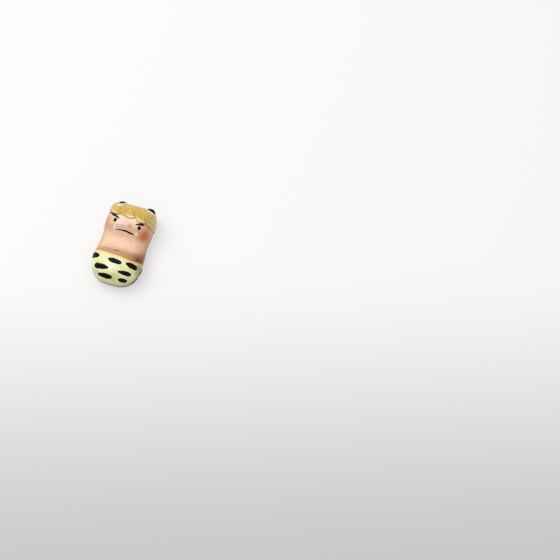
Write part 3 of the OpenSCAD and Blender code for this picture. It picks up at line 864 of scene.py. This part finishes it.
class Finish(Nodes):
    """A glaze, an enamel or bare clay: a material with one Principled shader, its Object coordinates and the
    tone that its colours build up."""

    def __init__(self, name, roughness, coat=0.0, gloss=BODY_GLOSS):
        self.material = bpy.data.materials.new(name)
        self.material.use_nodes = True
        super().__init__(self.material.node_tree)
        self.shader = self.tree.nodes["Principled BSDF"]
        self.put("Roughness", roughness)
        self.put("Coat Weight", coat)
        self.put("Coat Roughness", COAT_ROUGHNESS)
        self.put("IOR", GLASS_INDEX)
        self.put("Specular IOR Level", gloss)
        self.place = self.node("ShaderNodeTexCoord", {}, {}, "Object")
        self.tone = None

    def put(self, name, value):
        """Gives the shader's socket of a name a link or a value."""
        self.feed(self.shader.inputs[name], value)

    def mark(self, name):
        """A mark that the mesh carries."""
        return self.node("ShaderNodeAttribute", {"attribute_name": name}, {}, "Fac")

    def axes(self):
        """The coordinates x, y and z of a place, in millimetres."""
        return [self.node("ShaderNodeSeparateXYZ", {}, {0: self.place}, letter) / MM for letter in "XYZ"]

    def noise(self, length, detail=3, roughness=0.55, stretch=None, warp=0):
        """Cloudy noise of about 0 to 1, with patches of a given length."""
        place = self.place
        if stretch is not None:
            place = self.node("ShaderNodeMapping", {}, {"Vector": place, "Scale": stretch})
        return self.node("ShaderNodeTexNoise", {}, {
            "Vector": place, "Scale": 1 / length, "Detail": detail, "Roughness": roughness,
            "Distortion": warp}, "Fac")

    def blend(self, share, under, over):
        """One colour laid over another by a share of 0 to 1."""
        return self.node("ShaderNodeMix", {"data_type": "RGBA"}, {0: share, 6: under, 7: over}, 2)

    def ground(self, share, first, second):
        """The first tone, mixed of two colours by a share of 0 to 1."""
        self.tone = self.blend(share, paint(*first), paint(*second))

    def lay(self, share, colour):
        """A colour laid over the tone by a share of 0 to 1."""
        self.tone = self.blend(share, self.tone, paint(*colour))

    def patch(self, place, radius, waver=0):
        """A soft round patch about a place of the body: e^(-(distance / r)^2). Noise pushes the points about
        by up to half the waver, which breaks its edge."""
        points, middle = self.place, on_body(*place, RELIEF)
        if waver:
            cloud = self.node("ShaderNodeTexNoise", {}, {"Vector": points, "Scale": 1 / PATCH_CLOUD}, "Color")
            push = self.node("ShaderNodeVectorMath", {"operation": "SCALE"}, {0: cloud, "Scale": waver})
            points = self.node("ShaderNodeVectorMath", {"operation": "ADD"}, {0: points, 1: push})
            middle = middle + waver / 2
        away = self.node("ShaderNodeVectorMath", {"operation": "DISTANCE"},
                         {0: points, 1: middle.tolist()}, "Value") / radius
        return math.e ** (away * away * -1)

    def daub(self, place, radius, share, colour, waver=0):
        """A colour daubed about a place of the body. Radius and waver are in millimetres."""
        self.lay((self.patch(place, radius * MM, waver * MM) * share).clamped(), colour)

    def pool(self, distance, fade, share, colour):
        """A colour along a seam, for pooled glaze and for painted shade under an edge: e^(-fade distance^2)
        of its share.
        """
        self.lay(math.e ** (distance * distance * -fade) * share, colour)

    def fired(self, grain, depth, strength, detail=3, roughness=0.55):
        """The material, with its tone and relief too fine for the mesh: noise of a given grain and depth."""
        self.put("Base Color", self.tone)
        height = self.noise(grain, detail, roughness)
        relief = {"Height": height, "Distance": depth, "Strength": strength}
        self.put("Normal", self.node("ShaderNodeBump", {}, relief, "Normal"))
        return self.material

    def glazed(self, grain, roughness):
        """A large glaze once fired: finely pitted, with a gleam that varies from patch to patch."""
        self.put("Roughness", self.noise(grain) * GLEAM_RANGE + roughness)
        return self.fired(*PITTING)


def paint(red, green, blue):
    """A colour as it looks, 0 to 255, turned into the light that it stands for by the usual curve."""
    light = [c / 255 / 12.92 if c / 255 <= 0.04045 else ((c / 255 + 0.055) / 1.055) ** 2.4
             for c in (red, green, blue)]
    return (*light, 1.0)


def skin_finish():
    """Peach glaze: a painted whitish sheen on the brow, lighter pink painted round the mouth, coral
    airbrushed on nose and cheeks, and brown low on the flanks, under the fringe and above the trousers,
    partly painted shade."""
    finish = Finish("peach_glaze", 0.45, 0.25)
    x, y, z = finish.axes()
    finish.ground(finish.noise(3.5 * MM, 4).ramp(0.35, 0.7), (244, 208, 180), (237, 197, 162))
    # Painted highlights: a whitish sheen between the eyes and under the fringe, standing in for the lamp's
    # reflection in the glaze
    finish.daub((-0.1, 0.42), 4.4, 0.9, (244, 214, 204), 1)
    finish.daub((-0.18, 0.56), 2, 0.8, (252, 230, 202), 0.8)
    finish.daub((0.16, 0.52), 2.2, 0.7, (252, 228, 200), 0.8)
    finish.daub((0.28, 0.3), 2, 0.8, (238, 196, 178), 0.8)
    # Painted light: lighter pink round the mouth, standing in for light from the front
    finish.daub((0.03, 0.27), 2.2, 0.8, (240, 208, 200), 0.8)

    # Coral from the airbrush, which leaves a fine grain
    airbrush = finish.noise(0.18 * MM, 2).ramp(0.2, 0.8) * 0.25 + 0.8
    finish.daub((-0.05, 0.31), 1.5, airbrush * 0.5, (212, 172, 134), 0.8)
    finish.daub((0.14, 0.33), 1.3, airbrush * 0.85, (214, 144, 104), 0.5)
    finish.daub((-0.66, 0.37), 3.7, airbrush * 1.1, (216, 148, 120), 1.2)
    finish.daub((0.55, 0.43), 2.4, airbrush * 0.7, (240, 186, 142), 0.8)
    finish.daub((0.67, 0.265), 4.1, airbrush * 1.25, (204, 118, 76), 0.9)

    # Painted shadow: the belly darkens toward the trousers, as in the shade of the chopsticks across the dip
    finish.lay(y.ramp(-3, -7.5) * 0.8, (184, 134, 84))
    # Low on the right-hand wall the colour turns brown: glaze pooled there, and painted shade on the side
    # away from the lamp
    pooling_and_shade = finish.noise(2.4 * MM) * 0.5 + 0.6
    finish.lay((x.ramp(8, 12.5) * z.ramp(10, 4) * pooling_and_shade).clamped() * 0.85, (146, 92, 58))
    # Terracotta on the right flank, darkest just above the trousers: airbrushed coral, deepened as painted
    # shadow of the chopsticks
    finish.daub((0.92, -0.3), 5, airbrush, (160, 88, 50), 1.6)
    finish.daub((0.74, -0.38), 3.6, airbrush * 1.2, (122, 50, 14), 1.2)
    finish.daub((1, -0.38), 3, airbrush * 0.8, (134, 64, 30), 1.2)
    finish.lay(x.ramp(-8, -12.5) * airbrush * 0.6, (212, 148, 118))

    # Thin lines of unsteady width where the glazes meet, tan above the trousers
    line = finish.noise(1.4 * MM, 2) * 0.4 + 0.25
    # Under the fringe the brown line is glaze pooled at the step and painted shade under the hair's edge,
    # strongest at two corners
    corners = (finish.patch((-0.33, 0.54), 2.2 * MM) + finish.patch((0.62, 0.48), 2.2 * MM)).clamped()
    finish.pool(finish.mark("under_fringe") / line, 0.5, corners * 0.6 + 0.15, (112, 76, 34))
    finish.pool(finish.mark("over_waist") / line, 0.5, 0.6, (200, 138, 78))
    return finish.glazed(1.2 * MM, 0.34)


def hair_finish():
    """Gold glaze: ochre in the grooves, thin and pale on the curls and the crown, painted shade on the
    right-hand wall.
    """
    finish = Finish("gold_glaze", 0.42, 0.4)
    x, y = finish.axes()[:2]
    clouds = finish.noise(2.2 * MM, 4, warp=0.8)
    finish.ground(clouds.ramp(0.35, 0.66), (242, 208, 122), (224, 182, 80))
    finish.daub((-0.3, 0.7), 2.2, 0.5, (218, 168, 84), 1)
    finish.daub((-0.16, 0.71), 1.7, 0.8, (244, 194, 120), 0.8)
    finish.daub((0.04, 0.68), 1.9, 0.7, (240, 200, 108), 0.8)
    finish.daub((-0.08, 0.6), 1, 0.7, (216, 200, 134), 0.4)
    finish.daub((-0.03, 0.76), 1.7, 0.6, (214, 168, 88), 0.8)
    finish.daub((0.34, 0.67), 2.4, 0.8, (208, 170, 58), 1.2)
    finish.daub((0.55, 0.66), 1.8, 0.6, (226, 178, 100), 0.8)
    finish.lay(y.ramp(15.5, 20.5) * 0.75, (204, 176, 118))
    finish.daub((0.6, 0.57), 2.4, 0.6, (236, 204, 140), 0.8)
    # Painted shade: a greener, greyer tone on the right-hand wall, the side away from the lamp
    finish.lay(x.ramp(7.5, 11) * 0.85, (218, 208, 146))
    finish.lay(x.ramp(-8, -12) * 0.6, (222, 176, 132))
    finish.lay(finish.mark("curl_rim") * 0.4, (190, 138, 52))
    finish.lay(finish.mark("groove") * 0.8, (148, 108, 34))
    finish.lay(finish.mark("wave") * 0.7, (176, 130, 40))
    finish.lay(finish.mark("strand") * 0.66, (192, 144, 66))
    return finish.glazed(1.0 * MM, 0.32)


def trouser_finish():
    """Pale yellow glaze: painted whitish highlights, olive where it pools by the seat, painted shade on the
    right and low.
    """
    finish = Finish("straw_glaze", 0.42, 0.4)
    x, y, z = finish.axes()
    clouds = finish.noise(3.2 * MM, 4, warp=0.4)
    finish.ground(clouds.ramp(0.35, 0.7), (244, 244, 192), (230, 229, 162))
    streaks = finish.noise(1.1 * MM, stretch=(1, 0.35, 1)).ramp(0.48, 0.72)
    finish.lay(streaks * 0.4, (204, 202, 132))
    finish.daub((0.15, -0.9), 3, 0.8, (194, 190, 112), 1.6)
    # Painted highlights: a whitish sheen between the stripes and a glint lower right, for the lamp's
    # reflection in the glaze
    finish.daub((-0.04, -0.68), 2.9, 1, (255, 255, 232), 1.8)
    finish.daub((0.5, -0.82), 1.3, 0.9, (250, 246, 222), 0.8)
    finish.daub((0.25, -0.46), 1.8, 0.8, (255, 252, 186), 1)
    finish.daub((0.6, -0.78), 1.1, 0.6, (182, 172, 140), 0.8)
    finish.daub((-0.6, -0.87), 1.7, 0.8, (190, 190, 152), 1)
    # Painted highlight: a whitish sheen on the left-hand side
    finish.daub((-0.85, -0.62), 2.8, 0.7, (250, 250, 226), 1)
    # Painted shade: darker on the right-hand side, away from the lamp
    finish.lay(x.ramp(9.5, 12.6) * y.ramp(-17, -12) * 0.9, (160, 148, 98))
    # Olive low on the wall: glaze pooled there, and painted shade
    finish.lay(z.ramp(10.5, 4) * (y.ramp(-9, -20) * 0.32 + 0.52), (146, 144, 90))
    # Painted shade: a dark olive line where the lower right rim turns under
    finish.lay(z.ramp(6.6, 3.8) * (x - y).ramp(0, 16) * 0.95, (78, 74, 42))
    edge = finish.mark("from_edge") / (finish.noise(1.5 * MM, 2) * 1.2 + 0.4)
    finish.pool(edge, 1, 0.8, (238, 200, 130))
    return finish.glazed(1.0 * MM, 0.32)


def clay_finish():
    """Bare buff clay: mottled, with dark specks, and toasted in a thin line under the glaze."""
    finish = Finish("buff_clay", 0.85)
    height = finish.axes()[2]
    finish.ground(finish.noise(1.6 * MM, 4).ramp(0.35, 0.7), (222, 208, 184), (206, 188, 160))
    specks = finish.noise(0.28 * MM, 1).ramp(0.68, 0.74)
    finish.lay(specks * 0.7, (112, 84, 60))
    finish.lay(height.ramp(0.55, 1.3) * 0.6, (196, 142, 96))
    return finish.fired(0.12 * MM, 0.05 * MM, 0.8, 4, 0.7)


def horn_finish():
    """Cream glaze with faint cloudy patches."""
    finish = Finish("cream_glaze", 0.4, 0.4)
    finish.ground(finish.noise(1.5 * MM).ramp(0.35, 0.7), (244, 228, 182), (226, 206, 154))
    return finish.fired(0.4 * MM, 0.02 * MM, 0.4)


def enamel_finish(name, middle, rim, coat=0.0, gloss=0.12):
    """Brushed enamel: full in the middle of the mark, and thin at its rim, where it takes another tint."""
    finish = Finish(name, 0.4, coat, gloss)
    finish.ground((finish.mark("rim") ** 3 * (finish.noise(0.5 * MM) * 0.5 + 0.75)).clamped(), middle, rim)
    return finish.fired(0.35 * MM, 0.015 * MM, 0.4)


def floor_finish():
    """A pale floor, a little greyer toward the front, a painted falloff of the light. What the eye and
    reflections see of it is partly its own light, so that the shadow on it stays soft."""
    finish = Finish("pale_floor", 0.9, gloss=0.0)
    x, y = finish.axes()[:2]
    forward = x * FLOOR_FORWARD[0] + y * FLOOR_FORWARD[1]
    pale = finish.blend(forward.ramp(0, FLOOR_PAINTED_FALLOFF / MM), paint(182, 182, 182), paint(147, 147, 147))
    camera, glossy, through = (finish.node("ShaderNodeLightPath", {}, {}, f"Is {kind} Ray")
                               for kind in ("Camera", "Glossy", "Transmission"))
    seen = (camera + glossy + through).clamped()
    finish.put("Base Color", finish.blend(seen, paint(232, 232, 232), pale))
    finish.put("Emission Color", finish.blend(seen, paint(0, 0, 0), pale))
    finish.put("Emission Strength", 1)
    return finish.material


def lay_floor():
    """A wide pale floor under the foot of the rest, one square."""
    mesh = bpy.data.meshes.new("floor")
    corners = [(x * FLOOR_HALF, y * FLOOR_HALF, 0) for x, y in ((-1, -1), (1, -1), (1, 1), (-1, 1))]
    mesh.from_pydata(corners, [], [(0, 1, 2, 3)])
    mesh.materials.append(floor_finish())
    floor = bpy.data.objects.new("floor", mesh)
    bpy.context.scene.collection.objects.link(floor)


def set_lights():
    """Soft studio light: a white sky that is darker low down, and a wide round lamp overhead, to the left and
    a little behind, which points at the rest."""
    world = bpy.data.worlds.new("sky")
    world.use_nodes = True
    sky = Nodes(world.node_tree)
    direction = sky.node("ShaderNodeTexCoord", {}, {}, "Generated")
    height = sky.node("ShaderNodeSeparateXYZ", {}, {0: direction}, "Z")
    low, high = SKY_SHADES
    shade = sky.node("ShaderNodeMapRange", {}, {"Value": height, "To Min": low, "To Max": high})
    sky.feed(world.node_tree.nodes["Background"].inputs["Color"], shade)
    bpy.context.scene.world = world
    lamp = bpy.data.objects.new("softbox", bpy.data.lights.new("softbox", "AREA"))
    lamp.data.shape = "DISK"
    lamp.data.size = LAMP_WIDTH
    lamp.data.energy = LAMP_WATTS
    lamp.location = LAMP_PLACE
    lamp.rotation_euler = (-LAMP_PLACE).to_track_quat("-Z", "Y").to_euler()
    bpy.context.scene.collection.objects.link(lamp)


def glaze_body():
    """The clay and the three large coats."""
    press_clay(clay_finish())
    glaze_skin(skin_finish())
    glaze_cap("glazed_hair", hairline, 1, hair_depth, hair_marks, hair_finish(), "hair_coat")
    glaze_cap("glazed_trousers", waistline, -1, trouser_depth, trouser_marks, trouser_finish(),
              "trouser_coat")


def set_horns(dark):
    """Both horns, whose caps are dark."""
    cream = horn_finish()
    for word, (horn, cap, tilt) in HORNS.items():
        make_horn(word, horn, cap, tilt, cream, dark)


def draw_lines():
    """The slip along the scallops of the fringe, as one piece, and the brows and the mouth."""
    slip = enamel_finish("cream_slip", (240, 220, 168), (226, 194, 126), 0.5, 0.5)
    curls = [line_places(curl_table(*span), CURL_STROKE) for span in CURL_SPANS]
    brush("slip_curls", curls, hair_depth, slip, "hair_curls")
    brown = enamel_finish("brown_enamel", (30, 8, 4), (58, 24, 14))
    for name, (width, table) in LINES.items():
        brush(f"painted_{name}", [line_places(table, width)], skin_depth, brown, name)


def dab_dots(dark):
    """The eyes, the fangs and the navel."""
    fang = enamel_finish("fang_enamel", (255, 240, 218), (252, 216, 186), 0.5, 0.3)
    navel = enamel_finish("navel_enamel", (84, 28, 22), (140, 74, 50))
    kinds = {"eye": (dark, "dark_enamel"), "fang": (fang, "fang_enamel"), "navel": (navel, "navel_enamel")}
    for name, dot in DOTS.items():
        finish, slot = kinds[name.split("_")[-1]]
        brush(f"painted_{name}", [dash_places(*dot, DOT_WAVER)], skin_depth, finish, name)


def brush_stripes(dark):
    """The stripes of the trousers, numbered as their solids are."""
    for number, (across, along, length, width, turn, fuller) in enumerate(STRIPES, 1):
        size = length * STRIPE_LENGTH, width * STRIPE_WIDTH
        stripe = dash_places((across, along), *size, turn, STRIPE_WAVER, fuller)
        name = f"stripe_{number}"
        brush(f"painted_{name}", [stripe], trouser_depth, dark, name)


set_camera()
lay_floor()
set_lights()
glaze_body()
dark_enamel = enamel_finish("black_enamel", (8, 7, 5), (24, 19, 10))
set_horns(dark_enamel)
draw_lines()
dab_dots(dark_enamel)
brush_stripes(dark_enamel)
